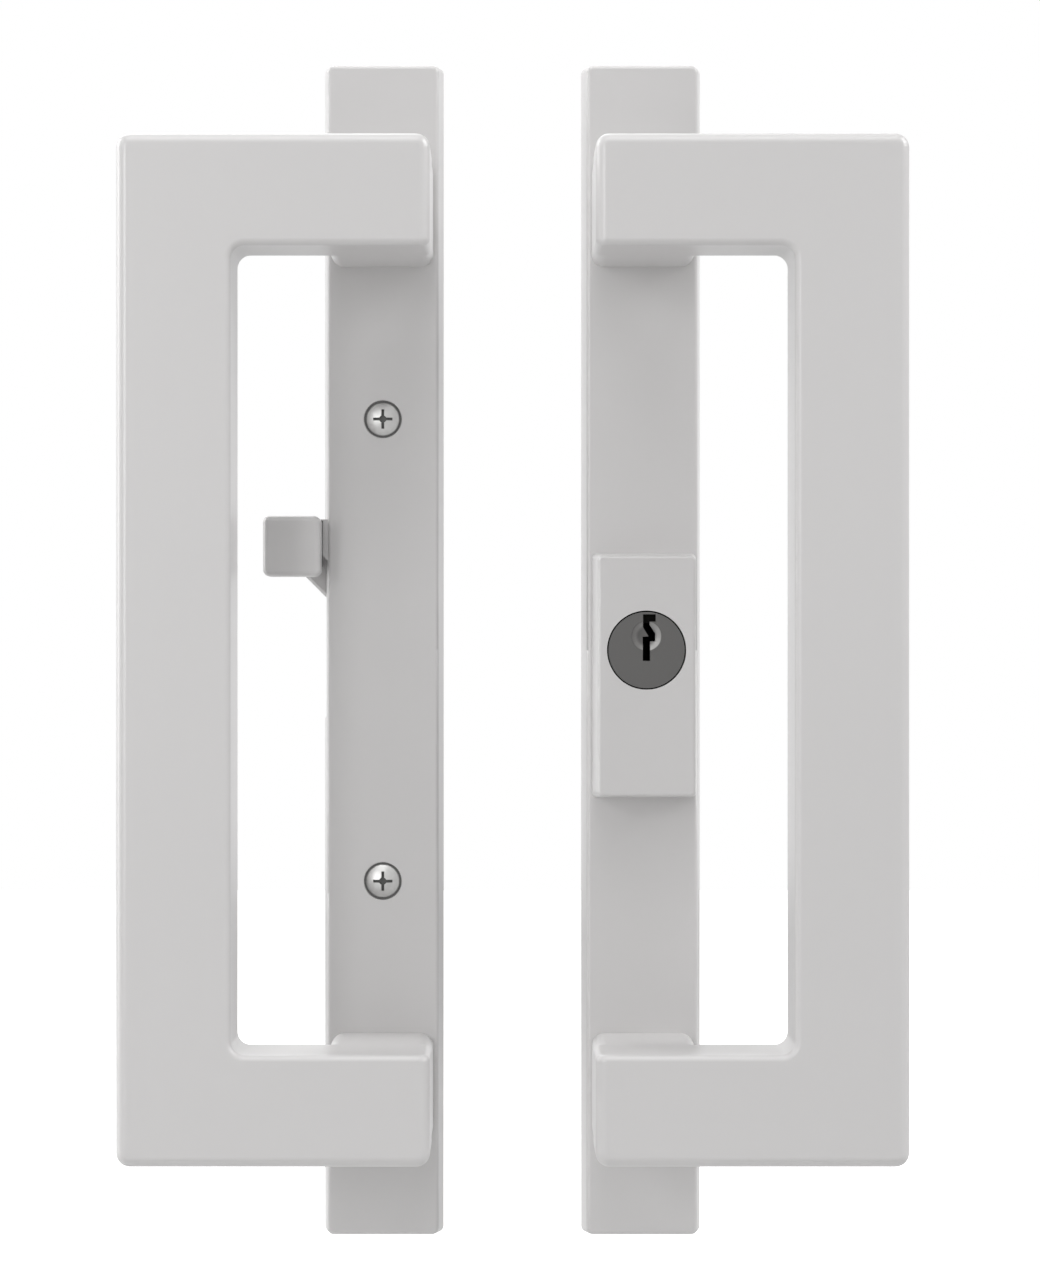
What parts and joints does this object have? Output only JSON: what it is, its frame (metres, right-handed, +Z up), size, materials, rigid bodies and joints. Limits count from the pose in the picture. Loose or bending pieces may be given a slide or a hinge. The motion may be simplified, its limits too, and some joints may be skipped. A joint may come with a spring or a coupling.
{
  "type": "sliding patio door handle set",
  "caption": "Sliding patio door handle set: interior half with thumb lever and exterior half with key cylinder, each an offset D-shaped pull on a long narrow plate.",
  "frame": {"origin": "midway between the interior half's two mounting screws, on the door face that its back lies on", "axes": "+Z up along the plates, +Y into the door, +X from the interior half towards the exterior half"},
  "size_m": [0.1623, 0.09, 0.255],
  "materials": {
    "painted_casting": "light grey satin powder coat on cast alloy",
    "screw_finish": "light grey painted steel",
    "plated_steel": "zinc plated steel",
    "dark_plug": "dark grey satin plated",
    "brass": "machined brass",
    "nylon": "natural nylon"
  },
  "bodies": {
    "fixed_parts": {"interior_plate": "painted_casting", "interior_grip": "painted_casting", "interior_grip_screws": "plated_steel", "mounting_screws": "screw_finish", "lever_bush": "nylon", "lever_washer": "nylon", "lever_retainer": "plated_steel", "lever_retainer_screws": "plated_steel", "exterior_plate": "painted_casting", "exterior_grip": "painted_casting", "exterior_grip_screws": "plated_steel", "tapped_posts": "plated_steel", "lock_cover": "painted_casting", "lock_cover_screws": "plated_steel", "cylinder_body": "dark_plug", "driver_pins": "brass", "pin_springs": "plated_steel", "chamber_strip": "brass"},
    "lever": {"thumb_lever": "painted_casting", "lever_tailpiece": "plated_steel", "lever_tail_pin": "plated_steel"},
    "plug": {"key_plug": "dark_plug", "key_pins": "brass", "plug_clip": "plated_steel", "plug_tailpiece": "plated_steel", "plug_tail_pin": "plated_steel"}
  },
  "joints": [
    {"name": "thumb_lever_turn", "type": "hinge", "parent": "fixed_parts", "child": "lever", "pos_m": [0, 0, 0], "axis": [0, -1, 0], "range_deg": [0, 90]},
    {"name": "key_plug_turn", "type": "hinge", "parent": "fixed_parts", "child": "plug", "pos_m": [0.0565, 0, 0], "axis": [0, -1, 0], "range_deg": [-90, 90]}
  ]
}
